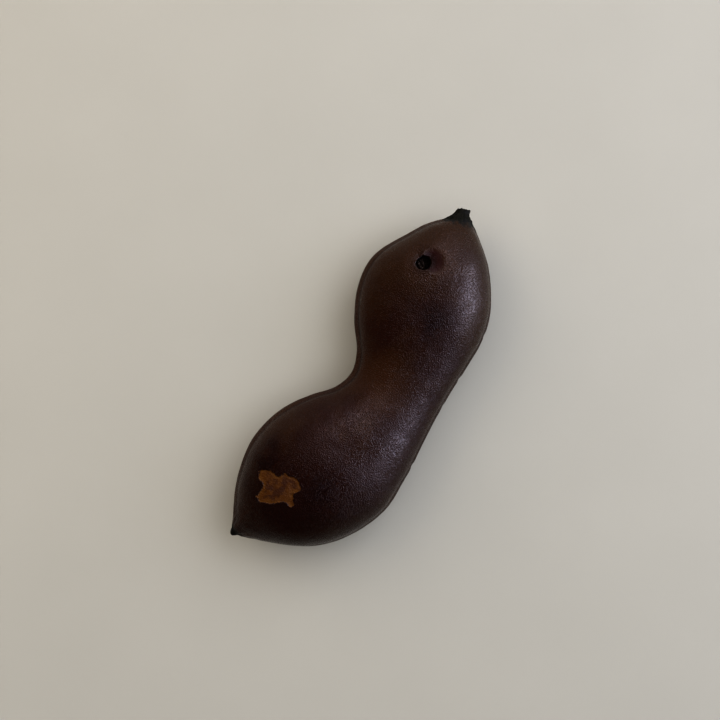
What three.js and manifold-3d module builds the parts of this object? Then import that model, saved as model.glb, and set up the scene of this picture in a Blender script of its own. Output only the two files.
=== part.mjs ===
// A dry jatoba pod (Hymenaea courbaril) lying on the flatter of its two sides.
// The pod is a woody fruit that pinches to a waist between two swollen lobes. One end is a short
// pointed beak, and the other carries the stub of the broken stalk. A rib, the suture where the two
// valves meet, runs round the edge. A beetle has bored a pit into the lobe nearest the stalk.
//
// Units are millimetres. +X runs from the beak to the stalk, and +Z is up. The origin is the middle
// of the bounding box, on the surface that the pod lies on.

import * as THREE from "three";
import { mergeVertices } from "three/addons/utils/BufferGeometryUtils.js";
import Module from "manifold-3d";

// ---------------------------------------------------------------- driving dimensions
// Cuts across the pod from the beak to the stalk. Each gives where the cut meets the hollow edge
// (the one with the waist) and the full edge opposite it, how thick the pod is there, and how high
// its middle stands above the surface.
const CUTS = [
  { hollow: [-55.6, -0.1], full: [-55.7, -0.7], thick: 0.7, middle: 12.1 },
  { hollow: [-54.7, 0.5], full: [-55.0, -1.7], thick: 2.0, middle: 12.2 },
  { hollow: [-52.2, 1.8], full: [-53.9, -4.4], thick: 5.6, middle: 12.4 },
  { hollow: [-47.0, 4.9], full: [-51.0, -11.4], thick: 13.0, middle: 12.7 },
  { hollow: [-40.0, 8.2], full: [-46.0, -20.1], thick: 21.2, middle: 12.9 },
  { hollow: [-30.0, 10.2], full: [-37.0, -27.5], thick: 26.3, middle: 12.9 },
  { hollow: [-20.0, 8.7], full: [-26.0, -31.2], thick: 26.2, middle: 12.8 },
  { hollow: [-11.5, 4.6], full: [-14.5, -30.9], thick: 23.4, middle: 12.6 },
  { hollow: [-4.5, -0.2], full: [-4.5, -29.4], thick: 20.2, middle: 12.4 },
  { hollow: [0.7, -1.2], full: [4.0, -28.1], thick: 18.7, middle: 12.2 },
  { hollow: [6.0, 0.8], full: [12.0, -27.4], thick: 19.4, middle: 12.1 },
  { hollow: [13.0, 6.4], full: [20.0, -27.0], thick: 21.8, middle: 12.0 },
  { hollow: [21.0, 11.0], full: [29.0, -26.1], thick: 24.3, middle: 12.0 },
  { hollow: [29.5, 12.4], full: [37.0, -23.4], thick: 25.1, middle: 12.1 },
  { hollow: [38.0, 10.0], full: [44.0, -18.7], thick: 22.2, middle: 12.2 },
  { hollow: [45.5, 6.7], full: [49.5, -12.7], thick: 16.4, middle: 12.3 },
  { hollow: [49.0, 4.0], full: [52.6, -8.2], thick: 11.0, middle: 12.4 },
  { hollow: [51.2, 2.2], full: [54.7, -4.2], thick: 6.6, middle: 12.5 },
];
const RINGS_PER_CUT = 4; // rings of the mesh from one cut to the next
const POINTS_PER_RING = 44;
const FULLNESS = 2.25; // exponent of a cut's superellipse: 2 is an ellipse
const EDGE_CROWDING = 0.34; // how much closer a ring's points stand at the edges than on top
const HEIGHT_STEPS = 400; // cuts tried when the height of the skin at a point is looked up

const RIB_HEIGHT = 0.55; // the suture rib, and half its width
const RIB_HALF_WIDTH = 1.1;
const RIB_FADES_BELOW = 9; // the rib shrinks where the pod is thinner than this

const PIT = { x: 36.0, y: -0.1, radius: 2.25, lip: 0.45, depth: 5.5, lean: 0.12 };
// The pit's wall from its bottom up: [share of its radius, share of its depth].
const PIT_WALL = [
  [0, 1],
  [0.6, 0.93],
  [0.9, 0.72],
];
const PIT_SEGMENTS = 20;

const SLAB = { width: 200, thickness: 20 }; // what the pod lies on, up to a height of 0

const STUB_GAP = 0.3; // clearance between the stub's foot and the pod's shoulder
const STUB_FLATTENING = 0.88; // the stub's height across, as a share of its width
const STUB_SEGMENTS = 24;
const STUB_LENGTH = 2.4;
const STUB_SET_OVER = 1.1; // how far its broken end lies towards the full edge
// The stub's profile: [radius, distance from its foot].
const STUB_PROFILE = [
  [0, 0],
  [3.55, 0],
  [3.05, 0.3],
  [2.55, 0.7],
  [2.2, 1.15],
  [2.0, 1.65],
  [2.0, 2.1],
  [1.9, STUB_LENGTH],
  [1.35, STUB_LENGTH],
  [1.0, 2.1],
  [0, 2.0],
];

// ---------------------------------------------------------------- materials
const podSkin = new THREE.MeshStandardMaterial({
  name: "pod_skin",
  color: new THREE.Color(0.055, 0.022, 0.014),
  roughness: 0.5,
  metalness: 0,
});
const stalkWood = new THREE.MeshStandardMaterial({
  name: "stalk_wood",
  color: new THREE.Color(0.012, 0.011, 0.009),
  roughness: 0.8,
  metalness: 0,
});

// ---------------------------------------------------------------- solids
const wasm = await Module();
wasm.setup();

// A closed three.js geometry as a manifold-3d solid.
function toSolid(geometry) {
  const plain = geometry.clone();
  plain.deleteAttribute("normal");
  plain.deleteAttribute("uv");
  const merged = mergeVertices(plain, 1e-4);
  return new wasm.Manifold(
    new wasm.Mesh({
      numProp: 3,
      vertProperties: new Float32Array(merged.attributes.position.array),
      triVerts: new Uint32Array(merged.index.array),
    }),
  );
}

// A manifold-3d solid as a three.js geometry.
function toGeometry(solid) {
  const mesh = solid.getMesh();
  const geometry = new THREE.BufferGeometry();
  geometry.setAttribute("position", new THREE.BufferAttribute(mesh.vertProperties, 3));
  geometry.setIndex(new THREE.BufferAttribute(mesh.triVerts, 1));
  geometry.computeVertexNormals();
  return geometry;
}

// ---------------------------------------------------------------- the pod's skin
// Each edge is a smooth curve through the cuts. Its z carries the pod's half thickness on the
// hollow edge, and the height of the pod's middle on the full edge.
const hollowEdge = new THREE.CatmullRomCurve3(
  CUTS.map(({ hollow: [x, y], thick }) => new THREE.Vector3(x, y, thick / 2)),
);
const fullEdge = new THREE.CatmullRomCurve3(
  CUTS.map(({ full: [x, y], middle }) => new THREE.Vector3(x, y, middle)),
);

const signedPower = (value, power) => Math.sign(value) * Math.abs(value) ** power;

// The cut across the pod at t, from 0 at the beak to 1 at the stalk.
function cutAt(t) {
  const a = hollowEdge.getPoint(t);
  const b = fullEdge.getPoint(t);
  return {
    centre: new THREE.Vector3((a.x + b.x) / 2, (a.y + b.y) / 2, b.z),
    across: new THREE.Vector3((a.x - b.x) / 2, (a.y - b.y) / 2, 0),
    halfThick: a.z,
  };
}

// The point of a cut at an angle that is 0 at the hollow edge and a half turn at the full edge.
// The cut's ends are the crests of the rib.
function skinPoint({ centre, across, halfThick }, angle) {
  const side = signedPower(Math.cos(angle), 2 / FULLNESS);
  const height = halfThick * signedPower(Math.sin(angle), 2 / FULLNESS);
  const shrink = Math.min(1, (2 * halfThick) / RIB_FADES_BELOW);
  const ribHeight = (RIB_HEIGHT * shrink) / across.length();
  const rib = ribHeight * Math.exp(-((height / (RIB_HALF_WIDTH * shrink)) ** 2));
  const reach = side * (1 - ribHeight) + Math.sign(Math.cos(angle)) * rib;
  const point = centre.clone().addScaledVector(across, reach);
  point.z += height;
  return point;
}

// A closed skin: a ring of points round each cut, joined ring to ring, with a fan at each end.
function podSkinGeometry() {
  const ringCount = (CUTS.length - 1) * RINGS_PER_CUT + 1;
  const positions = [];
  for (let i = 0; i < ringCount; i++) {
    const cut = cutAt(i / (ringCount - 1));
    for (let j = 0; j < POINTS_PER_RING; j++) {
      const turn = (2 * Math.PI * j) / POINTS_PER_RING;
      const angle = turn - EDGE_CROWDING * Math.sin(2 * turn);
      positions.push(...skinPoint(cut, angle).toArray());
    }
  }
  const faces = [];
  for (let i = 0; i + 1 < ringCount; i++) {
    for (let j = 0; j < POINTS_PER_RING; j++) {
      const next = (j + 1) % POINTS_PER_RING;
      const [a, b] = [i * POINTS_PER_RING + j, i * POINTS_PER_RING + next];
      const [c, d] = [a + POINTS_PER_RING, b + POINTS_PER_RING];
      faces.push(a, b, c, b, d, c);
    }
  }
  const ends = [
    { first: 0, t: 0, facesBeak: true },
    { first: (ringCount - 1) * POINTS_PER_RING, t: 1, facesBeak: false },
  ];
  for (const { first, t, facesBeak } of ends) {
    const hub = positions.length / 3;
    positions.push(...cutAt(t).centre.toArray());
    for (let j = 0; j < POINTS_PER_RING; j++) {
      const here = first + j;
      const next = first + ((j + 1) % POINTS_PER_RING);
      faces.push(hub, ...(facesBeak ? [next, here] : [here, next]));
    }
  }
  const geometry = new THREE.BufferGeometry();
  geometry.setAttribute("position", new THREE.Float32BufferAttribute(positions, 3));
  geometry.setIndex(faces);
  return geometry;
}

// The beetle's pit as a plug to cut away, with its mouth at the origin and its bottom below.
function pitPlug() {
  const { radius, lip, depth } = PIT;
  const above = 4 * lip; // the plug stands clear of the skin, which curves up round the pit
  const profile = [
    ...PIT_WALL.map(([out, down]) => new THREE.Vector2(radius * out, -depth * down)),
    new THREE.Vector2(radius, -2 * lip),
    new THREE.Vector2(radius + lip, 0),
    new THREE.Vector2(radius + 3 * lip, above),
    new THREE.Vector2(0, above),
  ];
  const plug = new THREE.LatheGeometry(profile, PIT_SEGMENTS);
  plug.rotateX(Math.PI / 2); // the lathe turns round Y, and this stands it along Z
  plug.rotateY(PIT.lean);
  return plug;
}

// The height of the skin straight above a point, read from the cuts.
function topHeight(x, y) {
  let best = { miss: Infinity, height: 0 };
  for (let i = 0; i <= HEIGHT_STEPS; i++) {
    const { centre, across, halfThick } = cutAt(i / HEIGHT_STEPS);
    const share = ((x - centre.x) * across.x + (y - centre.y) * across.y) / across.lengthSq();
    const miss = Math.hypot(x - centre.x - share * across.x, y - centre.y - share * across.y);
    if (Math.abs(share) < 1 && miss < best.miss) {
      const rise = (1 - Math.abs(share) ** FULLNESS) ** (1 / FULLNESS);
      best = { miss, height: centre.z + halfThick * rise };
    }
  }
  return best.height;
}

// The slab to cut away: it leaves a flat under each lobe.
function slabBelow() {
  const { width, thickness } = SLAB;
  const slab = new THREE.BoxGeometry(width, width, thickness);
  slab.translate(0, 0, -thickness / 2);
  return slab;
}

function makePod() {
  const plug = pitPlug();
  plug.translate(PIT.x, PIT.y, topHeight(PIT.x, PIT.y));
  const solid = toSolid(podSkinGeometry())
    .subtract(toSolid(plug))
    .subtract(toSolid(slabBelow()));
  const pod = new THREE.Mesh(toGeometry(solid), podSkin);
  pod.name = "pod";
  return pod;
}

// ---------------------------------------------------------------- the stalk's stub
function makeStalkStub() {
  const profile = STUB_PROFILE.map(([radius, along]) => new THREE.Vector2(radius, along));
  const plug = new THREE.LatheGeometry(profile, STUB_SEGMENTS);
  plug.rotateZ(-Math.PI / 2); // the lathe turns round Y, and this lays it along +X
  plug.scale(1, 1, STUB_FLATTENING);
  const points = plug.attributes.position;
  for (let i = 0; i < points.count; i++) {
    const along = points.getX(i) / STUB_LENGTH;
    points.setY(i, points.getY(i) - STUB_SET_OVER * along);
  }
  const { centre, across } = cutAt(1);
  const outward = new THREE.Vector3(across.y, -across.x, 0).normalize();
  const stub = new THREE.Mesh(toGeometry(toSolid(plug)), stalkWood);
  stub.name = "stalk_stub";
  stub.rotation.z = Math.atan2(outward.y, outward.x);
  stub.position.copy(centre).addScaledVector(outward, STUB_GAP);
  return stub;
}

// ---------------------------------------------------------------- assembly
const fruit = new THREE.Group();
fruit.add(makePod(), makeStalkStub());

// The cuts are measured from beak to stalk, so the fruit is moved to put its box over the origin.
const box = new THREE.Box3().setFromObject(fruit, true);
const boxCentre = box.getCenter(new THREE.Vector3());
fruit.position.set(-boxCentre.x, -boxCentre.y, -box.min.z);

const jatobaPod = new THREE.Group();
jatobaPod.add(fruit);

export default jatobaPod;
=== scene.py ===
"""The looks of a dry jatoba pod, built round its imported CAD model.

The pod's skin is one fine mesh that follows the CAD model's cuts, with the suture rib, the beetle's
pit, the flaked patch and the skin's relief as real geometry. The stalk's stub is a second mesh that
grips the pod's shoulder. Both have procedural materials. Lengths are in millimetres up to the point
where a mesh is made, and in metres from there on.
"""

import math

import bmesh
import bpy
import numpy as np
from mathutils import Matrix, Vector
from mathutils.bvhtree import BVHTree


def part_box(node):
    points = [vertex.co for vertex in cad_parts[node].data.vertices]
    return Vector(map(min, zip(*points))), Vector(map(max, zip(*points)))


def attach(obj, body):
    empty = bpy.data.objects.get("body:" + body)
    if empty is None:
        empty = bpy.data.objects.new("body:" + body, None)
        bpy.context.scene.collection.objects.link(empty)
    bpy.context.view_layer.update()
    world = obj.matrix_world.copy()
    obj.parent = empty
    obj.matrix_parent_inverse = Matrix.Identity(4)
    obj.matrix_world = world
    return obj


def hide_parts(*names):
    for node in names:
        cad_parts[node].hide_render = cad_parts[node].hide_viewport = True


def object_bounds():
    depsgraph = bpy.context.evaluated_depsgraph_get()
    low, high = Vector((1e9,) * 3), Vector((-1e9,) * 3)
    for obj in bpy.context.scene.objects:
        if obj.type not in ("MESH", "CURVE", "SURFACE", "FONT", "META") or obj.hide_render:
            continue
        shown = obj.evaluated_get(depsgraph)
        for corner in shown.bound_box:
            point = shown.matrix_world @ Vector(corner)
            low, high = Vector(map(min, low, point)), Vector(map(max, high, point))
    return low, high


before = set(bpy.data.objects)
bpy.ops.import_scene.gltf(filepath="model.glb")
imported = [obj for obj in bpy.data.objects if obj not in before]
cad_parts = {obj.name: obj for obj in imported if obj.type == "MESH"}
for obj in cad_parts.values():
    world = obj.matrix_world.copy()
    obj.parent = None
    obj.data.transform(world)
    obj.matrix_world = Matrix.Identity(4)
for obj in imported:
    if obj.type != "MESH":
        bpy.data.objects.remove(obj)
cad_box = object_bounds()

MM = 0.001
TINY = 1e-6
FAR = 99.0  # stands for a distance at points that a feature is nowhere near

# ---------------------------------------------------------------- the pod's dimensions
# Cuts across the pod from the beak to the stalk, the same as in the CAD model: where each meets the
# hollow edge and the full edge, how thick the pod is there, and how high its middle stands.
CUTS = [
    ((-55.6, -0.1), (-55.7, -0.7), 0.7, 12.1),
    ((-54.7, 0.5), (-55.0, -1.7), 2.0, 12.2),
    ((-52.2, 1.8), (-53.9, -4.4), 5.6, 12.4),
    ((-47.0, 4.9), (-51.0, -11.4), 13.0, 12.7),
    ((-40.0, 8.2), (-46.0, -20.1), 21.2, 12.9),
    ((-30.0, 10.2), (-37.0, -27.5), 26.3, 12.9),
    ((-20.0, 8.7), (-26.0, -31.2), 26.2, 12.8),
    ((-11.5, 4.6), (-14.5, -30.9), 23.4, 12.6),
    ((-4.5, -0.2), (-4.5, -29.4), 20.2, 12.4),
    ((0.7, -1.2), (4.0, -28.1), 18.7, 12.2),
    ((6.0, 0.8), (12.0, -27.4), 19.4, 12.1),
    ((13.0, 6.4), (20.0, -27.0), 21.8, 12.0),
    ((21.0, 11.0), (29.0, -26.1), 24.3, 12.0),
    ((29.5, 12.4), (37.0, -23.4), 25.1, 12.1),
    ((38.0, 10.0), (44.0, -18.7), 22.2, 12.2),
    ((45.5, 6.7), (49.5, -12.7), 16.4, 12.3),
    ((49.0, 4.0), (52.6, -8.2), 11.0, 12.4),
    ((51.2, 2.2), (54.7, -4.2), 6.6, 12.5),
]
FULLNESS = 2.25  # exponent of a cut's superellipse
UPPER_SIDE = 12.4  # points higher than this are on the pod's upper side
RESTING_HEIGHT = 0.0  # of the surface that the pod lies on
BEAK_TIP = (-55.7, -0.4, 12.1)
STALK_END = (55.0, -0.2, 12.5)

# The skin's mesh.
RINGS = 288
POINTS_PER_RING = 252
FINE_PLACES = 2400  # places tried when the rings are spread along the pod
FINE_ANGLES = 1440  # angles tried when a ring's points are spread along its length
END_RING_SHARES = (0.75, 0.45, 0.2)  # of the last ring's size, for the rings that close an end
EDGE_ZONE = 3.2  # half height of the zone by each edge where the points are packed closer
EDGE_DENSITY = 1.9

# The suture rib, which stands a little above the pod's middle on the hollow edge and below it on
# the full edge, with a fine seam along its crest and a shallow valley on each side.
RIB = {
    "height": 0.7,
    "half_width": 1.05,
    "lift_hollow": 1.5,
    "lift_full": -0.7,
    "seam_depth": 0.13,
    "seam_half_width": 0.2,
    "valley_depth": 0.2,
    "valley_at": 2.2,
    "valley_half_width": 0.65,
    "fades_below": 9.0,  # thickness of the pod
    "least_fade": 0.05,
    "side": (0.3, 0.7),  # how far out from the pod's middle the rib starts, and where it is full
}

# The beetle's pit, and the stained slope that runs down into it from one side.
PIT = {
    "x": 36.0,
    "y": -0.1,
    "radius": 2.1,
    "depth": 3.6,
    "reach": 5.4,
    "mesh_cuts": 3,
    "ring_packing": 0.35,
    "packed_within": 6.0,
    "floor_raised": 1.1,
    "wall_roughness": 0.12,
}
PIT_WAVES = [(0.09, 2, 0.6), (0.03, 3, -1.0)]  # round the mouth: share of the radius, count, turn
PIT_WAVER = (0.08, 0.45, 5)  # share of the radius, size and seed
PIT_CRUMBLING = [(0.55, 0.55, 21), (0.9, 1.3, 22)]
PIT_WALL_NOISE = (0.5, 23)
# Before the points round the pit are slid: its floor and its wall, as distances to its axis. And
# where each zone of it starts and is full.
PIT_FLOOR_BEFORE = 1.15
PIT_WALL_BEFORE = 3.0
PIT_FLOOR_SHARE = 0.8  # of the wall's radius, once the points are slid
PIT_ZONES = {
    "sunk": (3.15, 1.2),
    "floor": (1.9, 0.9),
    "wall_outside": (3.1, 2.6),
    "wall_inside": (1.2, 1.7),
    "inside": (3.3, 2.5),
}
# Where the painted shade round the pit's mouth lies, and its half width.
PIT_RIM = (3.3, 0.7)
SLOPE = {"bearing": 12, "reach": 4.6, "depth": 0.95, "open": (-0.1, 1.0), "foot": 0.7}

# The flaked patch: its outline round its own middle, and how deep the skin has come away.
PATCH = {
    "x": -36.2,
    "y": -3.1,
    "depth": 0.32,
    "reach": 9.0,
    "mesh_cuts": 2,
    "ring_packing": 0.25,
    "packed_within": 8.0,
    "edge": 0.12,
    "furthest": 3.0,
    "lip_at": 0.25,
    "lip_half_width": 0.3,
    "lip_height": 0.05,
}
PATCH_OUTLINE = [
    (1.1, 6.5), (2.2, 5.0), (3.0, 3.7), (2.9, 1.6), (4.8, 0.6), (4.6, -1.1), (5.2, -2.8),
    (4.2, -5.0), (3.1, -5.6), (1.7, -4.6), (0.4, -5.1), (-0.9, -6.4), (-1.9, -5.6),
    (-1.7, -3.8), (-2.8, -2.9), (-4.4, -1.3), (-5.0, -0.1), (-5.9, 1.4), (-5.5, 3.1),
    (-4.2, 3.3), (-2.8, 3.0), (-1.5, 3.9), (-0.9, 5.2), (0.0, 6.0),
]
PATCH_RAGGEDNESS = [(0.34, 1.1, 11), (0.16, 0.45, 12)]
PATCH_FLOOR = [(0.05, 0.5, 13), (0.07, 1.4, 14)]

# The skin's relief. Each entry of noise is its strength, its size and its seed.
SWELLS = [(-0.30, 17.0, 1), (-0.14, 7.5, 2)]
DIMPLES = {"depth": 0.10, "size": 4.2, "seed": 3, "above": 0.25}
PEBBLES = [(0.030, 1.9, 4), (0.022, 1.05, 6)]
PEBBLE_STRETCH = (0.6, 1.0, 1.0)
ROUGHER_ENDS = [(-38.0, -53.0), (40.0, 53.0)]  # along the pod, from where it starts to where it is full
ROUGHER_BY = 0.6

# Wrinkles that run out to each end: the end, how far they reach from it, and the seed.
WRINKLED_ENDS = [(BEAK_TIP, 13.0, 31), (STALK_END, 9.0, 32)]
WRINKLES = {"depth": 0.13, "size": 0.16, "stretch": 9.0, "full_at": 0.25, "smooth_tip": (0.8, 2.5)}

# Zones of the skin: place, reach and strength. Most browner ones are the skin's own tone, but the two on
# the rims near the beak, at (-40, -24) and (-48, 4), are painted warm light; the darker ones below 0 are
# painted shade where the skin faces away from the light.
TONE_LIGHT_AND_SHADE = [
    (3.2, -9.0, 10.5, 0.75), (37.0, 7.0, 8.0, 0.3), (-25.0, 5.0, 5.0, 0.25),
    (24.0, -12.0, 5.0, -0.7), (38.5, 0.8, 4.6, -0.45), (-31.0, 3.0, 5.0, -0.8),
    (-31.0, -14.0, 7.0, -0.7), (-43.0, -10.0, 6.0, -0.5), (-40.0, -24.0, 5.0, 0.45),
    (-48.0, 4.0, 5.0, 0.35),
]
TONE_LIGHT_AND_SHADE_WANDER = {"by": 2.5, "size": 6.0, "seeds": (51, 52)}

# Nicks worn into the full edge's rib: how far along the pod, depth and length.
NICKS = [(16.5, 0.22, 1.6), (7.6, 0.2, 2.0), (-10.9, 0.24, 1.8), (30.5, 0.15, 1.4)]
NICK_HALF_HEIGHT = 1.2
FULL_EDGE_BELOW = -10  # Y of the points that can be nicked
RUBBED_BELOW = 0.6  # height of the skin that rests on the surface and is rubbed by it

# The nub at the tip of the beak: a swelling, and the neck behind it.
NUB = {"at": 0.5, "swell": 0.22, "neck_at": 1.9, "neck_depth": 0.16, "spread": 0.55}

# ---------------------------------------------------------------- the stub's dimensions
# Radius and distance from the pod's end. The first rings are a skirt on the pod.
STUB_PROFILE = [
    (4.3, -1.5), (4.15, -1.1), (3.95, -0.7), (3.72, -0.35), (3.45, 0.0), (3.1, 0.35),
    (2.72, 0.7), (2.42, 1.05), (2.2, 1.4), (2.08, 1.75), (2.02, 2.1), (1.98, 2.4),
    (1.86, 2.62), (1.6, 2.72), (1.3, 2.6), (0.95, 2.42), (0.55, 2.34),
]
STUB_RINGS_PER_STEP = 6
STUB_POINTS = 160
STUB_LENGTH = 2.7
STUB_FLATTENING = 0.88
STUB_SET_OVER = 1.1
STUB_MOST_OVER = 1.1
STUB_FLUTES = {"noise": [(0.055, 0.33, 41)], "depth": 0.03, "count": 7, "turn": 0.4}
STUB_FIBRES = [(0.03, 0.09, 42)]
STUB_TORN = [(0.3, 0.3, 43), (0.16, 0.1, 44)]
STUB_FOOT = {"below": 0.35, "waver": 0.45, "size": 0.4, "seed": 45}
STUB_ROUGHNESS = {"depth": 0.05, "size": 0.5, "seed": 46, "stretch": 2}
# Steps of the profile between which each zone comes in.
STUB_TORN_FROM = (9.0, 12.0)
STUB_CORE_FROM = (12.5, 15.5)
STUB_END_FROM = (12.0, 13.5)
STUB_CORE_SMOOTHER = 0.5
STUB_CORE_LEVEL = 0.6
# The skirt: its steps on the pod's skin, how proud of it they lie, and where they leave it.
STUB_SKIRT = {"steps": 4, "proud": 0.16, "sunk": 0.02, "rises": (0.02, 0.6), "leaves": (0.75, 1.0)}
STUB_HUBS = {"inside": 1.5, "outside": 2.3, "over": 0.9}

# ---------------------------------------------------------------- colours and finishes
LIGHT_BROWN = (0.047, 0.0190, 0.0080)
BROWN = (0.0310, 0.0118, 0.0034)
RED_BROWN = (0.0300, 0.0082, 0.0018)
MAROON = (0.0200, 0.0052, 0.0025)
# Also painted as shade: in the darker zones, the rib's valleys, the stained slope's foot, round the pit's
# mouth and outside the patch's edge.
DARK_MAROON = (0.0078, 0.0010, 0.0007)
RUST = (0.050, 0.0150, 0.0040)
STAINED = (0.0210, 0.0022, 0.0010)
# The blackened ends' colour, also painted as shade in the rib's seam.
BLACKENED_AND_SHADE = (0.0034, 0.0032, 0.0022)
PIT_WALL = (0.012, 0.0062, 0.0046)
# Pale crumbs, which also stand for painted glints in the pit.
PIT_CRUMBS_AND_GLINTS = (0.060, 0.046, 0.042)
OCHRE = (0.088, 0.032, 0.0024)
OCHRE_RED = (0.046, 0.0130, 0.0016)
OCHRE_PALE = (0.150, 0.068, 0.012)
PALE_WEAR = (0.070, 0.040, 0.022)
STUB_DARK = (0.0034, 0.0034, 0.0022)
STUB_FIBRE = (0.0120, 0.0115, 0.0075)
STUB_GRIT = (0.026, 0.022, 0.015)
STUB_CORE = (0.030, 0.020, 0.012)
FLOOR_TONES = ((0.445, 0.437, 0.41), (0.475, 0.467, 0.44))

# Noise in the materials: features per metre, detail and roughness.
SKIN_NOISE = {
    "broad": (60.0, 3.0),
    "blotches": (210.0, 4.0, 0.6),
    "grain": (2100.0, 4.0, 0.75),
    "crumbs_and_glints": (1500.0, 2.0),
    "wander": (700.0, 3.0),
    "torn_edge": (2600.0, 3.0),
    "mottle": (620.0, 4.0, 0.6),
    "fibres": (1500.0, 4.0, 0.65),
}
PEBBLES_PER_METRE = 3400.0
STUB_FIBRE_NOISE = (9.0, 3.0, 0.6)
STUB_GRIT_NOISE = (2600.0, 3.0, 0.6)
FLOOR_NOISE = (25.0, 2.0)
SKIN_SPECULAR = 0.26
STUB_SPECULAR = 0.14
FLOOR_ROUGHNESS = 0.9
# Heights of the materials' bumps, in metres.
GRAIN_BUMP = 0.00005
PEBBLE_BUMP = 0.00008
FIBRE_BUMP = 0.00012
GRIT_BUMP = 0.00008

# ---------------------------------------------------------------- the view and the studio
# The picture's right-hand and upward directions on the surface that the pod lies on.
PICTURE_TURN = math.radians(54.53)
PICTURE_RIGHT = Vector((math.cos(PICTURE_TURN), -math.sin(PICTURE_TURN), 0))
PICTURE_UP = Vector((math.sin(PICTURE_TURN), math.cos(PICTURE_TURN), 0))
AIM = Vector((4.2, 8.2, -0.7)) * MM  # from the middle of the CAD model's box
CAMERA_DISTANCE = 0.280

# The walls and ceiling round the pod, as colours, and as heights from 0 at the horizon to 1 above.
WORLD = {
    "bearing": 50,
    "bright": (0.66, 0.68, 0.72),
    "dim": (0.15, 0.10, 0.055),
    "ceiling": (0.004, 0.004, 0.004),
    "facing": (-0.6, 0.8),  # from fully dim to fully bright, as the cosine to the bearing
    "ceiling_from": (0.2, 0.7),
}

# Lights: name, bearing, elevation, distance, size, watts, colour, and whether it only shines in the
# gloss. The others light the surfaces and don't show in the gloss.
LIGHTS = [
    ("window", 30, 45, 0.62, 0.62, 1.9, (0.92, 0.95, 1.0), False),
    ("fill", 90, 80, 1.1, 2.2, 11.0, (1.0, 0.98, 0.93), False),
    ("lamp", 150, 38, 0.60, 0.50, 1.0, (1.0, 0.84, 0.62), False),
    ("panel", 0, 31, 0.60, 0.32, 5.0, (0.78, 0.79, 1.0), True),
    ("skylight", 72, 52, 0.60, 0.24, 1.4, (1.0, 0.84, 0.90), True),
]
FLOOR_HALF_WIDTH = 1.5
FLOOR_DROP = 0.0001  # keeps the floor off the pod's own flats


# ---------------------------------------------------------------- helpers
def noise(points, size, seed):
    """Smooth noise from -1 to 1 at each point, with features about as large as size."""
    cells = 32
    off_the_grid = 7.31
    table = np.random.RandomState(seed).uniform(-1, 1, (cells, cells, cells))
    scaled = np.asarray(points, float) / size + off_the_grid
    low = np.floor(scaled).astype(int)
    share = scaled - low
    share = share**3 * (share * (share * 6 - 15) + 10)
    total = np.zeros(len(scaled))
    for corner in range(8):
        bits = np.array([corner & 1, corner >> 1 & 1, corner >> 2 & 1])
        weight = np.prod(np.where(bits, share, 1 - share), axis=1)
        i, j, k = ((low + bits) % cells).T
        total += weight * table[i, j, k]
    return total


def noises(points, entries):
    """The sum of several noises, each given as its strength, size and seed."""
    total = np.zeros(len(points))
    for strength, size, seed in entries:
        total += strength * noise(points, size, seed)
    return total


def smooth_step(value, start, end):
    share = np.clip((value - start) / (end - start), 0, 1)
    return share * share * (3 - 2 * share)


def bump(value, half_width):
    return np.exp(-((value / half_width) ** 2))


def picture_direction(bearing, elevation):
    """A direction from its bearing, counted from the picture's right to its top, and elevation."""
    b, e = math.radians(bearing), math.radians(elevation)
    level = PICTURE_RIGHT * math.cos(b) + PICTURE_UP * math.sin(b)
    return level * math.cos(e) + Vector((0, 0, math.sin(e)))


# ---------------------------------------------------------------- the skin's base shape
def edge_curve(points):
    """A centripetal Catmull-Rom curve through points, as a function of 0 to 1."""
    points = np.array(points, float)
    before, after = 2 * points[0] - points[1], 2 * points[-1] - points[-2]
    chain = np.vstack([before, points, after])
    gaps = np.linalg.norm(np.diff(chain, axis=0), axis=1) ** 0.5

    def at(t):
        spans = len(points) - 1
        place = np.clip(np.asarray(t, float) * spans, 0, spans)
        span = np.minimum(place.astype(int), spans - 1)
        u = (place - span)[:, None]
        p0, p1, p2, p3 = (chain[span + k] for k in range(4))
        d0, d1, d2 = (gaps[span + k][:, None] for k in range(3))
        out1 = ((p1 - p0) / d0 - (p2 - p0) / (d0 + d1) + (p2 - p1) / d1) * d1
        out2 = ((p2 - p1) / d1 - (p3 - p1) / (d1 + d2) + (p3 - p2) / d2) * d1
        cubic = 2 * p1 - 2 * p2 + out1 + out2
        square = -3 * p1 + 3 * p2 - 2 * out1 - out2
        return p1 + u * (out1 + u * (square + u * cubic))

    return at


hollow_edge = edge_curve([(h[0], h[1], thick / 2) for h, _, thick, _ in CUTS])
full_edge = edge_curve([(f[0], f[1], middle) for _, f, _, middle in CUTS])


def cut_at(t):
    """The cuts at each t: their centres, half widths as vectors, and half thicknesses."""
    a, b = hollow_edge(t), full_edge(t)
    centre = np.column_stack([(a[:, :2] + b[:, :2]) / 2, b[:, 2]])
    across = np.column_stack([(a[:, :2] - b[:, :2]) / 2, np.zeros(len(a))])
    return centre, across, a[:, 2]


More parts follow.
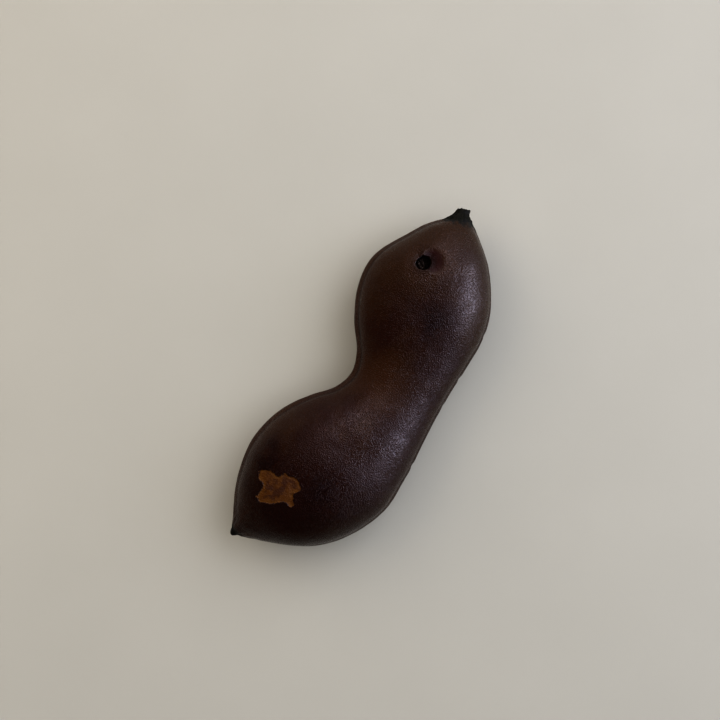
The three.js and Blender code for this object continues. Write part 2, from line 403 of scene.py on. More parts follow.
def skin(t, angle):
    """Points of the skin, and how far above or below the rib's crest each is."""
    centre, across, half_thick = cut_at(t)
    power = 2 / FULLNESS
    c, s = np.cos(angle), np.sin(angle)
    side = np.sign(c) * np.abs(c) ** power
    height = half_thick * np.sign(s) * np.abs(s) ** power
    half_width = np.linalg.norm(across, axis=1)
    shrink = np.minimum(1, 2 * half_thick / RIB["fades_below"])
    lift = np.where(c > 0, RIB["lift_hollow"], RIB["lift_full"]) * shrink**2
    from_crest = (height - lift) / np.maximum(shrink, RIB["least_fade"])
    profile = RIB["height"] * bump(from_crest, RIB["half_width"])
    profile -= RIB["seam_depth"] * bump(from_crest, RIB["seam_half_width"])
    valley = bump(np.abs(from_crest) - RIB["valley_at"], RIB["valley_half_width"])
    profile -= RIB["valley_depth"] * valley
    near_edge = smooth_step(np.abs(c), *RIB["side"])
    rib = profile * shrink * near_edge / half_width
    base = 1 - RIB["height"] * shrink / half_width
    reach = side * base + np.sign(c) * rib
    points = centre + across * reach[:, None]
    points[:, 2] += height
    return points, np.where(near_edge > 0, from_crest, FAR)


def ring_places():
    """Where the rings stand along the pod: evenly, but closer by the pit and the patch."""
    t = np.linspace(0, 1, FINE_PLACES)
    centre = cut_at(t)[0]
    step = np.linalg.norm(np.diff(centre, axis=0), axis=1)
    x = (centre[1:, 0] + centre[:-1, 0]) / 2
    density = np.ones(len(x))
    for feature in (PIT, PATCH):
        density += feature["ring_packing"] * bump(x - feature["x"], feature["packed_within"])
    total = np.concatenate([[0], np.cumsum(step * density)])
    return np.interp(np.linspace(0, total[-1], RINGS), total, t)


def ring_angles(t):
    """Angles of one ring's points: evenly along the skin, but closer by the two edges."""
    fine = np.linspace(0, 2 * math.pi, FINE_ANGLES + 1)
    points, _ = skin(np.full(len(fine), t), fine)
    step = np.linalg.norm(np.diff(points, axis=0), axis=1)
    height = np.abs((points[1:, 2] + points[:-1, 2]) / 2 - points[0, 2])
    side = np.abs(np.cos((fine[1:] + fine[:-1]) / 2))
    near_edge = bump(height, EDGE_ZONE) * smooth_step(side, *RIB["side"])
    total = np.concatenate([[0], np.cumsum(step * (1 + EDGE_DENSITY * near_edge))])
    wanted = np.linspace(0, total[-1], POINTS_PER_RING, endpoint=False)
    return np.interp(wanted, total, fine)


# ---------------------------------------------------------------- the skin's mesh
def base_skin():
    """The skin's rings as a bmesh, with the distance to the rib's crest in a vertex layer."""
    mesh = bmesh.new()
    crest = mesh.verts.layers.float.new("from_crest")
    rings = []
    for t in ring_places():
        points, from_crest = skin(np.full(POINTS_PER_RING, t), ring_angles(t))
        ring = []
        for point, value in zip(points, from_crest):
            vertex = mesh.verts.new(point)
            vertex[crest] = value
            ring.append(vertex)
        rings.append(ring)
    for ring, after in zip(rings, rings[1:]):
        join_rings(mesh, ring, after, False)
    for ring, t, flip in ((rings[0], 0.0, True), (rings[-1], 1.0, False)):
        close_end(mesh, crest, ring, cut_at(np.array([t]))[0][0], flip)
    return mesh


def join_rings(mesh, outer, inner, flip):
    for j in range(len(outer)):
        k = (j + 1) % len(outer)
        corners = (outer[j], outer[k], inner[k], inner[j])
        mesh.faces.new(corners[::-1] if flip else corners)


def close_end(mesh, crest, ring, middle, flip):
    """Closes an end with rings that shrink onto its middle."""
    outer = ring
    for share in END_RING_SHARES:
        inner = []
        for vertex in ring:
            inner.append(mesh.verts.new(Vector(middle).lerp(vertex.co, share)))
            inner[-1][crest] = FAR
        join_rings(mesh, outer, inner, flip)
        outer = inner
    hub = mesh.verts.new(middle)
    hub[crest] = FAR
    for j in range(len(outer)):
        k = (j + 1) % len(outer)
        corners = (outer[j], outer[k], hub)
        mesh.faces.new(corners[::-1] if flip else corners)


def refine(mesh, feature):
    """Divides the faces on the pod's upper side within reach of the pit or the patch."""
    faces = []
    for face in mesh.faces:
        middle = face.calc_center_median()
        far = math.hypot(middle.x - feature["x"], middle.y - feature["y"])
        if middle.z > UPPER_SIDE and far < feature["reach"]:
            faces.append(face)
    edges = {edge for face in faces for edge in face.edges}
    cuts = feature["mesh_cuts"]
    bmesh.ops.subdivide_edges(mesh, edges=list(edges), cuts=cuts, use_grid_fill=True)


def mesh_arrays(mesh):
    """A bmesh's points, normals, distances to the rib's crest and faces, as arrays and lists."""
    mesh.normal_update()
    crest = mesh.verts.layers.float["from_crest"]
    mesh.verts.index_update()
    points = np.array([v.co for v in mesh.verts])
    normals = np.array([v.normal for v in mesh.verts])
    from_crest = np.array([v[crest] for v in mesh.verts])
    faces = [[v.index for v in face.verts] for face in mesh.faces]
    mesh.free()
    return points, normals, from_crest, faces


def cad_offset(points):
    """What moves the cuts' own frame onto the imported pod."""
    low, high = (np.array(corner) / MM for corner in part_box("pod"))
    middle = (points.max(0) + points.min(0)) / 2
    offset = (low + high) / 2 - middle
    offset[2] = 0.0
    return offset


# ---------------------------------------------------------------- the pit
def gather_round_pit(points):
    """Slides the points round the pit so that most of them stand on its wall."""
    flat = points[:, :2] - (PIT["x"], PIT["y"])
    far = np.linalg.norm(flat, axis=1)
    turn = np.arctan2(flat[:, 1], flat[:, 0])
    ragged = np.ones(len(points))
    for strength, count, start in PIT_WAVES:
        ragged += strength * np.cos(count * turn + start)
    strength, size, seed = PIT_WAVER
    circle = np.column_stack([np.cos(turn), np.sin(turn), np.zeros(len(turn))])
    ragged += strength * noise(circle, size, seed)
    wall = PIT["radius"] * ragged
    old = [0.0, PIT_FLOOR_BEFORE, PIT_WALL_BEFORE, PIT["reach"]]
    new = [np.zeros_like(wall), wall * PIT_FLOOR_SHARE, wall, np.full_like(wall, PIT["reach"])]
    moved = far.copy()
    for k in range(3):
        here = (far >= old[k]) & (far < old[k + 1])
        share = (far - old[k]) / (old[k + 1] - old[k])
        moved = np.where(here, new[k] + share * (new[k + 1] - new[k]), moved)
    on_top = points[:, 2] > UPPER_SIDE
    ratio = np.where(on_top & (far > TINY), moved / np.maximum(far, TINY), 1.0)
    slid = points.copy()
    slid[:, :2] = flat * ratio[:, None] + (PIT["x"], PIT["y"])
    return slid, np.where(on_top, far, FAR)


def pit_drop(points, start_far):
    """How far each point sinks into the pit, from its distance to the axis before it slid."""
    sunk, floor, outside, inside = (
        smooth_step(start_far, *PIT_ZONES[zone])
        for zone in ("sunk", "floor", "wall_outside", "wall_inside")
    )
    drop = PIT["depth"] * sunk
    drop = drop - floor * (PIT["floor_raised"] + noises(points, PIT_CRUMBLING))
    wall = outside * inside
    return np.maximum(drop, 0) + wall * PIT["wall_roughness"] * noise(points, *PIT_WALL_NOISE)


def pit_slope(points):
    """How far each point is down the stained slope beside the pit, from 0 to 1."""
    away = points[:, :2] - (PIT["x"], PIT["y"])
    far = np.maximum(np.linalg.norm(away, axis=1), TINY)
    uphill = np.array(picture_direction(SLOPE["bearing"], 0))[:2]
    open_side = smooth_step((away @ uphill) / far, *SLOPE["open"])
    foot = SLOPE["foot"] * PIT["radius"]
    return open_side * smooth_step(far, PIT["radius"] + SLOPE["reach"] * open_side, foot)


# ---------------------------------------------------------------- the flaked patch
def outline_distance(points, outline):
    """Signed distance from each 2-D point to a closed smooth outline, negative inside it."""
    corners = np.array(outline, float)
    loop = []
    for k in range(len(corners)):
        p0, p1, p2, p3 = (corners[(k + m) % len(corners)] for m in range(-1, 3))
        for u in (0.0, 0.25, 0.5, 0.75):
            turn = 2 * p1 + (p2 - p0) * u + (2 * p0 - 5 * p1 + 4 * p2 - p3) * u**2
            loop.append((turn + (3 * p1 - p0 - 3 * p2 + p3) * u**3) / 2)
    loop = np.array(loop)
    ends = np.roll(loop, -1, axis=0)
    nearest = np.full(len(points), np.inf)
    inside = np.zeros(len(points), bool)
    for a, b in zip(loop, ends):
        along = np.clip(((points - a) @ (b - a)) / ((b - a) @ (b - a)), 0, 1)
        gap = np.linalg.norm(points - a - along[:, None] * (b - a), axis=1)
        nearest = np.minimum(nearest, gap)
        if a[1] != b[1]:
            crosses = (a[1] > points[:, 1]) != (b[1] > points[:, 1])
            slope = (b[0] - a[0]) / (b[1] - a[1])
            inside ^= crosses & (points[:, 0] < a[0] + slope * (points[:, 1] - a[1]))
    return np.where(inside, -nearest, nearest)


def patch_distance(points, top):
    """Distance of each point to the patch's ragged edge, negative inside the patch."""
    distance = outline_distance(points[:, :2] - (PATCH["x"], PATCH["y"]), PATCH_OUTLINE)
    distance += noises(points, PATCH_RAGGEDNESS)
    furthest = PATCH["furthest"]
    return np.where(top, np.clip(distance, -furthest, furthest), furthest)


def patch_rise(points, patch, top):
    """Height of the patch's uneven floor, below the skin, and of the lip round it."""
    flaked = smooth_step(patch, PATCH["edge"], -PATCH["edge"])
    lip = bump(patch - PATCH["lip_at"], PATCH["lip_half_width"]) * top * PATCH["lip_height"]
    return flaked * (noises(points, PATCH_FLOOR) - PATCH["depth"]) + lip


# ---------------------------------------------------------------- the skin's relief and tones
def relief(points):
    """Height of the skin's own relief: broad swells, shallow dimples and a fine pebbling."""
    hollows = noise(points, DIMPLES["size"], DIMPLES["seed"]) - DIMPLES["above"]
    dimples = -DIMPLES["depth"] * np.maximum(hollows, 0)
    pebbles = noises(points * PEBBLE_STRETCH, PEBBLES)
    ends = sum(smooth_step(points[:, 0], *zone) for zone in ROUGHER_ENDS)
    return noises(points, SWELLS) + dimples + pebbles * (1 + ROUGHER_BY * ends)


def end_wrinkles(points):
    """Height of the fine wrinkles that run out to the beak and to the stalk."""
    total = np.zeros(len(points))
    for tip, reach, seed in WRINKLED_ENDS:
        away = points - tip
        far = np.linalg.norm(away, axis=1)
        turn = np.arctan2(away[:, 2], away[:, 1])
        ring = np.column_stack([np.cos(turn), np.sin(turn), far / WRINKLES["stretch"]])
        folds = WRINKLES["depth"] * noise(ring, WRINKLES["size"], seed)
        fade = smooth_step(far, reach, reach * WRINKLES["full_at"])
        total += folds * fade * smooth_step(far, *WRINKLES["smooth_tip"])
    return total


def nicks(points, from_crest):
    """Depth of the nicks in the full edge's rib."""
    total = np.zeros(len(points))
    for x, depth, length in NICKS:
        nicked = bump(points[:, 0] - x, length / 2) * bump(from_crest, NICK_HALF_HEIGHT)
        total += depth * nicked * (points[:, 1] < FULL_EDGE_BELOW)
    return total


def tone_light_and_shade(points):
    """How much browner than its surroundings the skin is at each point, from its own tone and from
    painted warm light on two rims, and, below 0, how much painted shade darkens it.
    """
    drift = [noise(points, TONE_LIGHT_AND_SHADE_WANDER["size"], seed) for seed in TONE_LIGHT_AND_SHADE_WANDER["seeds"]]
    wandered = points[:, :2] + TONE_LIGHT_AND_SHADE_WANDER["by"] * np.column_stack(drift)
    total = np.zeros(len(points))
    for x, y, reach, strength in TONE_LIGHT_AND_SHADE:
        total += strength * bump(np.linalg.norm(wandered - (x, y), axis=1), reach)
    return total


# ---------------------------------------------------------------- the two pieces
def make_object(name, points, faces, material, layers):
    """A mesh object in metres, with its point attributes, riding on the pod's body."""
    mesh = bpy.data.meshes.new(name)
    mesh.from_pydata((points * MM).tolist(), [], faces)
    mesh.polygons.foreach_set("use_smooth", [True] * len(mesh.polygons))
    for layer, values in layers.items():
        attribute = mesh.attributes.new(layer, "FLOAT", "POINT")
        attribute.data.foreach_set("value", np.asarray(values, np.float32))
    mesh.materials.append(material)
    piece = bpy.data.objects.new(name, mesh)
    bpy.context.scene.collection.objects.link(piece)
    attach(piece, "root")
    return piece


def make_pod(material):
    mesh = base_skin()
    refine(mesh, PIT)
    refine(mesh, PATCH)
    points, normals, from_crest, faces = mesh_arrays(mesh)
    offset = cad_offset(points)

    points, start_far = gather_round_pit(points)
    top = points[:, 2] > UPPER_SIDE
    patch = patch_distance(points, top)
    stain = np.where(top, pit_slope(points), 0)
    tip_far = np.linalg.norm(points - BEAK_TIP, axis=1)

    rise = relief(points) + end_wrinkles(points)
    rise += patch_rise(points, patch, top)
    rise -= SLOPE["depth"] * stain
    rise -= nicks(points, from_crest)
    rise += NUB["swell"] * bump(tip_far - NUB["at"], NUB["spread"])
    rise -= NUB["neck_depth"] * bump(tip_far - NUB["neck_at"], NUB["spread"])
    points = points + normals * rise[:, None]
    points[:, 2] -= np.where(top, pit_drop(points, start_far), 0)

    rubbed = smooth_step(points[:, 2], RUBBED_BELOW, RESTING_HEIGHT)
    points[:, 2] = np.maximum(points[:, 2], RESTING_HEIGHT)
    stalk_centre = cut_at(np.array([1.0]))[0][0]
    rim_at, rim_half_width = PIT_RIM
    layers = {
        "crest": from_crest,
        "patch": patch,
        "stain": stain,
        "pit": smooth_step(start_far, *PIT_ZONES["inside"]) * top,
        # pit_rim: where painted shade darkens the pit's mouth
        "pit_rim": bump(start_far - rim_at, rim_half_width) * top,
        "rub": rubbed,
        "beak": tip_far,
        "stalk": np.linalg.norm(points - stalk_centre, axis=1),
        "along": points[:, 0],
        "side": points[:, 1],
        # Zones of the skin's own tone, of painted warm light, and of painted shade below 0
        "tone_light_and_shade": tone_light_and_shade(points),
    }
    pod = make_object("pod_skin_surface", points + offset, faces, material, layers)
    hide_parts("pod")
    return pod, offset


def stub_rings(steps, turn, centre, across, outward):
    """The stub's rings of points: fluted, leaning over, and torn where the stalk broke."""
    profile_steps = range(len(STUB_PROFILE))
    radius = np.interp(steps, profile_steps, [r for r, _ in STUB_PROFILE])
    along = np.interp(steps, profile_steps, [a for _, a in STUB_PROFILE])
    circle = np.column_stack([np.cos(turn), np.sin(turn), np.zeros(STUB_POINTS)])
    waves = np.cos(STUB_FLUTES["count"] * turn + STUB_FLUTES["turn"])
    fluted = noises(circle, STUB_FLUTES["noise"]) + STUB_FLUTES["depth"] * waves
    fluted = fluted + noises(circle, STUB_FIBRES)
    torn = noises(circle, STUB_TORN)
    foot_waver = STUB_FOOT["waver"] * noise(circle, STUB_FOOT["size"], STUB_FOOT["seed"])
    upward = np.array([0.0, 0.0, 1.0])
    rings = []
    for step, r, a in zip(steps, radius, along):
        late = smooth_step(step, *STUB_TORN_FROM)
        core = smooth_step(step, *STUB_CORE_FROM)
        length = a + torn * late * (1 - STUB_CORE_LEVEL * core)
        length = length + max(STUB_FOOT["below"] - a, 0) * foot_waver
        place = np.column_stack([circle[:, :2] * STUB_ROUGHNESS["stretch"], np.full(STUB_POINTS, a)])
        rough = noise(place, STUB_ROUGHNESS["size"], STUB_ROUGHNESS["seed"])
        wide = r * (1 + fluted * (1 - STUB_CORE_SMOOTHER * core)) + STUB_ROUGHNESS["depth"] * rough
        over = STUB_SET_OVER * np.clip(length / STUB_LENGTH, 0, STUB_MOST_OVER)
        ring = centre + np.outer(length, outward)
        ring = ring + np.outer(wide * np.cos(turn) - over, across)
        ring = ring + np.outer(wide * np.sin(turn) * STUB_FLATTENING, upward)
        rings.append(ring)
    return np.array(rings)


def grip_skin(rings, pod):
    """Lays the skirt's rings on the pod's skin, and lets go of it where the skirt ends."""
    skin_tree = BVHTree.FromObject(pod, bpy.context.evaluated_depsgraph_get())
    skirt = STUB_SKIRT["steps"] * STUB_RINGS_PER_STEP
    for k in range(skirt + 1):
        proud = STUB_SKIRT["proud"] * smooth_step(k / skirt, *STUB_SKIRT["rises"])
        proud -= STUB_SKIRT["sunk"]
        keep = smooth_step(k / skirt, *STUB_SKIRT["leaves"])
        for j in range(STUB_POINTS):
            hit, normal, _, _ = skin_tree.find_nearest(Vector(rings[k, j] * MM))
            on_skin = np.array(hit + normal * (proud * MM)) / MM
            rings[k, j] = on_skin * (1 - keep) + rings[k, j] * keep


def stub_faces(count):
    """Faces between count rings, and from the first and last ring to the two hubs after them."""
    faces = []
    first_hub = count * STUB_POINTS
    last_ring = first_hub - STUB_POINTS
    for k in range(count - 1):
        for j in range(STUB_POINTS):
            n = (j + 1) % STUB_POINTS
            a, b = k * STUB_POINTS + j, k * STUB_POINTS + n
            faces.append((a, b, b + STUB_POINTS, a + STUB_POINTS))
    for j in range(STUB_POINTS):
        n = (j + 1) % STUB_POINTS
        faces.append((j, first_hub, n))
        faces.append((last_ring + n, first_hub + 1, last_ring + j))
    return faces


def make_stub(material, pod, offset):
    centre, across, _ = cut_at(np.array([1.0]))
    centre, across = centre[0] + offset, across[0] / np.linalg.norm(across[0])
    outward = np.array([across[1], -across[0], 0.0])
    steps = np.arange(0, len(STUB_PROFILE) - 1 + 1e-9, 1 / STUB_RINGS_PER_STEP)
    turn = np.linspace(0, 2 * math.pi, STUB_POINTS, endpoint=False)
    rings = stub_rings(steps, turn, centre, across, outward)
    grip_skin(rings, pod)
    inner_hub = centre - outward * STUB_HUBS["inside"]
    outer_hub = centre + outward * STUB_HUBS["outside"] - across * STUB_SET_OVER * STUB_HUBS["over"]
    points = np.vstack([rings.reshape(-1, 3), [inner_hub, outer_hub]])
    end_face = np.repeat(smooth_step(steps, *STUB_END_FROM), STUB_POINTS)
    layers = {
        "end_face": np.append(end_face, [0, 1]),
        "turn": np.append(np.tile(turn, len(rings)), [0, 0]),
    }
    faces = stub_faces(len(rings))
    stub = make_object("stalk_stub_wood", points, faces, material, layers)
    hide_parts("stalk_stub")


# ---------------------------------------------------------------- materials
class Shader:
    """Builds the nodes of a material or world. A value is a number, a colour or a node's output."""

    def __init__(self, owner):
        self.owner = owner
        self.owner.use_nodes = True
        self.tree = self.owner.node_tree
        self.tree.nodes.clear()

    def node(self, kind, settings=None, **inputs):
        node = self.tree.nodes.new(kind)
        for key, value in (settings or {}).items():
            setattr(node, key, value)
        for key, value in inputs.items():
            self.feed(node.inputs[key.replace("_", " ")], value)
        return node

    def feed(self, socket, value):
        if isinstance(value, bpy.types.NodeSocket):
            self.tree.links.new(value, socket)
        else:
            socket.default_value = value

    def layer(self, name):
        return self.node("ShaderNodeAttribute", {"attribute_name": name}).outputs["Fac"]

    def place(self):
        return self.node("ShaderNodeTexCoord").outputs["Object"]

    def noise(self, per_metre, detail=2.0, roughness=0.5, vector=None):
        node = self.node(
            "ShaderNodeTexNoise",
            Scale=per_metre,
            Detail=detail,
            Roughness=roughness,
            Vector=vector or self.place(),
        )
        return node.outputs["Fac"]

    def cells(self, per_metre):
        """Distance to the middle of the nearest of many small rounded cells."""
        settings = {"feature": "SMOOTH_F1"}
        node = self.node("ShaderNodeTexVoronoi", settings, Scale=per_metre, Vector=self.place())
        return node.outputs["Distance"]

    def ramp(self, value, start, end, low=0.0, high=1.0):
        """Goes smoothly from low to high as value goes from start to end."""
        node = self.node("ShaderNodeMapRange", {"interpolation_type": "SMOOTHSTEP"}, Value=value)
        for key, number in zip(("From Min", "From Max", "To Min", "To Max"), (start, end, low, high)):
            node.inputs[key].default_value = number
        return node.outputs["Result"]

    def math(self, operation, *values):
        """Applies the operation to the first two values, then to the result and the next."""
        result = values[0]
        for value in values[1:]:
            node = self.node("ShaderNodeMath", {"operation": operation})
            self.feed(node.inputs[0], result)
            self.feed(node.inputs[1], value)
            result = node.outputs[0]
        return result

    def add(self, *values):
        return self.math("ADD", *values)

    def times(self, *values):
        return self.math("MULTIPLY", *values)

    def most(self, *values):
        return self.math("MAXIMUM", *values)

    def size(self, value):
        node = self.node("ShaderNodeMath", {"operation": "ABSOLUTE"})
        self.feed(node.inputs[0], value)
        return node.outputs[0]

    def mix(self, share, a, b):
        """Colour a where share is 0, and colour b where it is 1."""
        node = self.node("ShaderNodeMix", {"data_type": "RGBA", "blend_type": "MIX"})
        for index, value in ((0, share), (6, a), (7, b)):
            is_colour = isinstance(value, tuple)
            self.feed(node.inputs[index], (*value, 1.0) if is_colour else value)
        return node.outputs[2]

    def bump(self, height, distance, normal=None):
        node = self.node("ShaderNodeBump", Height=height, Distance=distance, Strength=1.0)
        if normal is not None:
            self.feed(node.inputs["Normal"], normal)
        return node.outputs["Normal"]

    def finish(self, **inputs):
        surface = self.node("ShaderNodeBsdfPrincipled", **inputs)
        output = self.node("ShaderNodeOutputMaterial")
        self.tree.links.new(surface.outputs["BSDF"], output.inputs["Surface"])
        return self.owner


def ground_colour(shader, layer, pattern):
    """The skin: browner by the stalk and along the hollow edge, and maroon towards the beak, with painted
    warm light on two rims and painted shade in some zones.
    """
    brownness = shader.add(
        shader.ramp(layer["along"], 8.0, 42.0, 0.15, 0.95),
        shader.ramp(layer["side"], -8.0, 8.0, 0.0, 0.45),
        shader.ramp(pattern["broad"], 0.3, 0.7, -0.35, 0.35),
        shader.ramp(pattern["blotches"], 0.3, 0.7, -0.18, 0.18),
        shader.times(layer["tone_light_and_shade"], 0.9),
    )
    colour = shader.mix(shader.ramp(brownness, 0.0, 1.0), MAROON, BROWN)
    # Lighter brown where the zones are high: the skin's own tone by the neck, and painted warm light on
    # two rims near the beak.
    colour = shader.mix(shader.ramp(layer["tone_light_and_shade"], 0.25, 0.9, 0.0, 0.9), colour, LIGHT_BROWN)
    # Darker towards the beak, and painted shade where the zones are below 0.
    darkness = shader.most(
        shader.ramp(layer["along"], -14.0, -42.0, 0.0, 0.7),
        shader.ramp(layer["tone_light_and_shade"], -0.1, -0.8, 0.0, 0.95),
    )
    colour = shader.mix(darkness, colour, DARK_MAROON)
    # Dark and rusty grain all over.
    colour = shader.mix(shader.ramp(pattern["grain"], 0.47, 0.33, 0.0, 0.6), colour, DARK_MAROON)
    return shader.mix(shader.ramp(pattern["grain"], 0.54, 0.68, 0.0, 0.6), colour, RUST)


def rib_colour(shader, layer, pattern, colour):
    """The rib: redder round it, worn paler on its crest, with painted shade in its seam and valleys."""
    from_crest = shader.size(layer["crest"])
    redder = shader.times(
        shader.ramp(from_crest, 8.0, 1.5),
        shader.ramp(pattern["blotches"], 0.3, 0.6, 0.35, 0.75),
    )
    colour = shader.mix(redder, colour, RED_BROWN)
    worn = shader.times(
        shader.ramp(from_crest, 1.5, 0.5),
        shader.ramp(pattern["blotches"], 0.35, 0.6),
        0.2,
    )
    colour = shader.mix(worn, colour, PALE_WEAR)
    # Painted shade in the seam along the rib's crest and in the valleys beside it.
    colour = shader.mix(shader.ramp(from_crest, 0.32, 0.1, 0.0, 0.75), colour, BLACKENED_AND_SHADE)
    from_valley = shader.size(shader.math("SUBTRACT", from_crest, RIB["valley_at"]))
    return shader.mix(shader.ramp(from_valley, 0.9, 0.1, 0.0, 0.55), colour, DARK_MAROON)


def pit_colour(shader, layer, pattern, wandering, stained, colour):
    """The stained slope with painted shade at its foot, painted shade round the pit's mouth, and pale
    crumbs in the pit that are partly painted glints.
    """
    colour = shader.mix(stained, colour, STAINED)
    # Painted shade at the stained slope's foot, next to the pit.
    colour = shader.mix(shader.ramp(wandering, 0.45, 0.95, 0.0, 0.7), colour, DARK_MAROON)
    # Painted shade round the pit's mouth.
    colour = shader.mix(shader.times(layer["pit_rim"], 0.4), colour, DARK_MAROON)
    # Pale specks in the pit: crumbs, and painted glints on them.
    inside = shader.mix(shader.ramp(pattern["crumbs_and_glints"], 0.54, 0.66), PIT_WALL, PIT_CRUMBS_AND_GLINTS)
    return shader.mix(layer["pit"], colour, inside)


def patch_colour(shader, layer, pattern, flaked, patch_edge, colour):
    """The flaked patch: mottled ochre, redder in its middle, pale in spots, with painted shade round its
    edge.
    """
    redness = shader.add(
        shader.ramp(layer["patch"], -0.6, -2.4, 0.1, 0.75),
        shader.ramp(pattern["mottle"], 0.35, 0.65, -0.7, 0.7),
    )
    ochre = shader.mix(shader.ramp(redness, 0.1, 1.1), OCHRE, OCHRE_RED)
    torn = shader.add(layer["patch"], shader.ramp(pattern["blotches"], 0.3, 0.7, -0.7, 0.5))
    pale = shader.times(
        shader.ramp(torn, -1.3, -0.2),
        shader.ramp(pattern["grain"], 0.35, 0.6, 0.1, 0.6),
    )
    ochre = shader.mix(pale, ochre, OCHRE_PALE)
    ochre = shader.mix(shader.ramp(pattern["fibres"], 0.4, 0.3, 0.0, 0.6), ochre, OCHRE_RED)
    # Painted shade in a band just outside the patch's torn edge.
    colour = shader.mix(shader.ramp(patch_edge, 0.5, 0.1, 0.0, 0.6), colour, DARK_MAROON)
    return shader.mix(flaked, colour, ochre)


def skin_material():
    shader = Shader(bpy.data.materials.new("pod_skin_finish"))
    names = ("along", "side", "crest", "patch", "stain", "pit", "pit_rim", "tone_light_and_shade", "beak", "stalk", "rub")
    layer = {name: shader.layer(name) for name in names}
    pattern = {name: shader.noise(*settings) for name, settings in SKIN_NOISE.items()}
    grain, broad, fibres = pattern["grain"], pattern["broad"], pattern["fibres"]

    # Where the slope is stained, the two ends are blackened and the patch is flaked off.
    wandering = shader.add(layer["stain"], shader.ramp(grain, 0.3, 0.7, -0.08, 0.08))
    stained = shader.ramp(wandering, 0.06, 0.4)
    wander = shader.ramp(pattern["wander"], 0.3, 0.7, -0.9, 0.9)
    beak = shader.ramp(shader.add(layer["beak"], wander), 4.8, 1.8)
    stalk = shader.ramp(shader.add(layer["stalk"], wander), 6.2, 4.6)
    torn_edge = shader.ramp(pattern["torn_edge"], 0.3, 0.7, -0.16, 0.16)
    patch_edge = shader.add(layer["patch"], torn_edge)
    flaked = shader.ramp(patch_edge, 0.06, -0.06)

    colour = ground_colour(shader, layer, pattern)
    colour = rib_colour(shader, layer, pattern, colour)
    colour = pit_colour(shader, layer, pattern, wandering, stained, colour)
    colour = shader.mix(shader.most(beak, stalk), colour, BLACKENED_AND_SHADE)
    colour = patch_colour(shader, layer, pattern, flaked, patch_edge, colour)
    colour = shader.mix(shader.times(layer["rub"], 0.35), colour, PALE_WEAR)

    pit_matt = shader.times(layer["pit"], 0.5)
    matt = shader.most(flaked, beak, stalk, pit_matt, shader.times(stained, 0.4))
    roughness = shader.add(
        shader.ramp(grain, 0.3, 0.7, 0.37, 0.22),
        shader.ramp(broad, 0.3, 0.7, 0.05, -0.05),
        shader.times(matt, 0.3),
    )
    pebbles = shader.ramp(shader.cells(PEBBLES_PER_METRE), 0.05, 0.55, 1.0, 0.0)
    normal = shader.bump(grain, GRAIN_BUMP)
    normal = shader.bump(pebbles, PEBBLE_BUMP, normal)
    normal = shader.bump(shader.times(fibres, flaked), FIBRE_BUMP, normal)
    return shader.finish(
        Base_Color=colour,
        Roughness=roughness,
        Normal=normal,
        Specular_IOR_Level=SKIN_SPECULAR,
    )


def stub_material():
    shader = Shader(bpy.data.materials.new("stalk_wood_finish"))
    turn = shader.layer("turn")
    sine, cosine = (shader.node("ShaderNodeMath", {"operation": name}) for name in ("SINE", "COSINE"))
    for node in (sine, cosine):
        shader.feed(node.inputs[0], turn)
    around = shader.node("ShaderNodeCombineXYZ", X=sine.outputs[0], Y=cosine.outputs[0])
    fibres = shader.noise(*STUB_FIBRE_NOISE, around.outputs["Vector"])
    grit = shader.noise(*STUB_GRIT_NOISE)
    colour = shader.mix(shader.ramp(fibres, 0.35, 0.65), STUB_DARK, STUB_FIBRE)
    colour = shader.mix(shader.ramp(grit, 0.55, 0.7, 0.0, 0.6), colour, STUB_GRIT)
    colour = shader.mix(shader.times(shader.layer("end_face"), 0.5), colour, STUB_CORE)
    return shader.finish(
        Base_Color=colour,
        Roughness=shader.ramp(grit, 0.3, 0.7, 0.85, 0.6),
        Normal=shader.bump(grit, GRIT_BUMP, shader.bump(fibres, FIBRE_BUMP)),
        Specular_IOR_Level=STUB_SPECULAR,
    )


def floor_material():
    shader = Shader(bpy.data.materials.new("floor_finish"))
    colour = shader.mix(shader.noise(*FLOOR_NOISE), *FLOOR_TONES)
    return shader.finish(Base_Color=colour, Roughness=FLOOR_ROUGHNESS)


# ---------------------------------------------------------------- the studio
def make_floor():
    half = FLOOR_HALF_WIDTH
    corners = [(-half, -half, 0), (half, -half, 0), (half, half, 0), (-half, half, 0)]
    mesh = bpy.data.meshes.new("floor")
    mesh.from_pydata(corners, [], [(0, 1, 2, 3)])
    mesh.materials.append(floor_material())
    floor = bpy.data.objects.new("floor", mesh)
    floor.location.z = -FLOOR_DROP
    bpy.context.scene.collection.objects.link(floor)


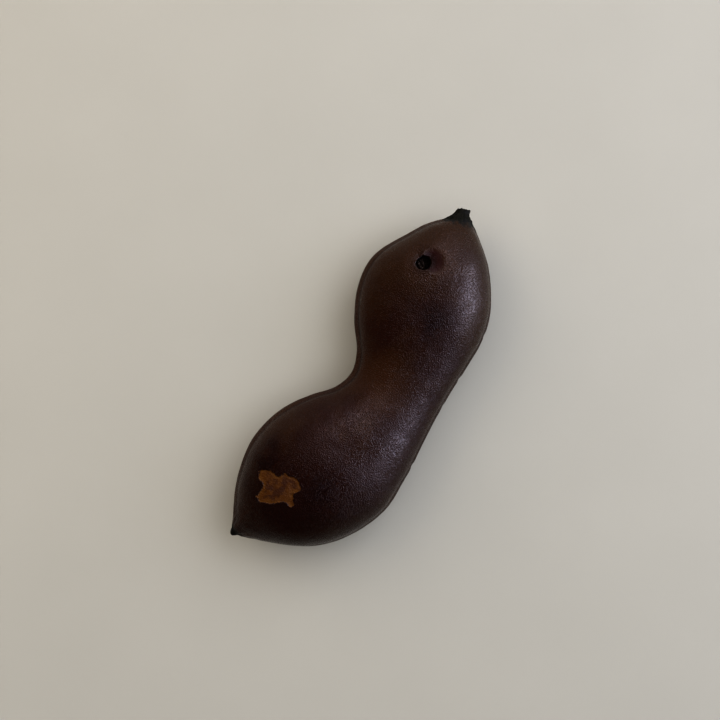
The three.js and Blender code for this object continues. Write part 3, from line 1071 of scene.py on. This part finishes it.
def make_light(name, bearing, elevation, distance, size, watts, colour, only_shines):
    """A soft square light aimed at the pod, which either lights it or only shines in its gloss."""
    lamp = bpy.data.lights.new(name, "AREA")
    lamp.shape = "SQUARE"
    lamp.size = size
    lamp.energy = watts
    lamp.color = colour
    light = bpy.data.objects.new(name, lamp)
    towards = picture_direction(bearing, elevation)
    light.location = towards * distance
    light.rotation_mode = "QUATERNION"
    light.rotation_quaternion = (-towards).to_track_quat("-Z", "Y")
    light.visible_camera = False
    light.visible_glossy = only_shines
    light.visible_diffuse = not only_shines
    bpy.context.scene.collection.objects.link(light)


def make_world():
    """Walls, brighter and cooler to the picture's right and top, and a nearly black ceiling."""
    world = bpy.data.worlds.new("studio")
    shader = Shader(world)
    direction = shader.node("ShaderNodeTexCoord").outputs["Generated"]
    facing = shader.node("ShaderNodeVectorMath", {"operation": "DOT_PRODUCT"})
    shader.feed(facing.inputs[0], direction)
    shader.feed(facing.inputs[1], tuple(picture_direction(WORLD["bearing"], 0)))
    height = shader.node("ShaderNodeSeparateXYZ", Vector=direction).outputs["Z"]
    brightness = shader.ramp(facing.outputs["Value"], *WORLD["facing"])
    wall = shader.mix(brightness, WORLD["dim"], WORLD["bright"])
    colour = shader.mix(shader.ramp(height, *WORLD["ceiling_from"]), wall, WORLD["ceiling"])
    background = shader.node("ShaderNodeBackground", Color=colour)
    output = shader.node("ShaderNodeOutputWorld")
    shader.tree.links.new(background.outputs["Background"], output.inputs["Surface"])
    bpy.context.scene.world = world


def make_camera():
    """Looks straight down, so that the picture's up is the surface's PICTURE_UP."""
    lens = bpy.data.cameras.new("camera")
    lens.lens = 50.0
    lens.sensor_width = 36.0
    lens.clip_start, lens.clip_end = 0.01, 10.0
    camera = bpy.data.objects.new("camera", lens)
    eye = (cad_box[0] + cad_box[1]) / 2 + AIM + Vector((0, 0, CAMERA_DISTANCE))
    axes = Matrix((PICTURE_RIGHT, PICTURE_UP, Vector((0, 0, 1)))).transposed()
    camera.matrix_world = Matrix.Translation(eye) @ axes.to_4x4()
    bpy.context.scene.collection.objects.link(camera)
    bpy.context.scene.camera = camera


make_floor()
make_world()
for light_settings in LIGHTS:
    make_light(*light_settings)
make_camera()
bpy.context.scene.view_settings.view_transform = "Standard"
bpy.context.scene.view_settings.look = "High Contrast"

pod_piece, pod_offset = make_pod(skin_material())
make_stub(stub_material(), pod_piece, pod_offset)
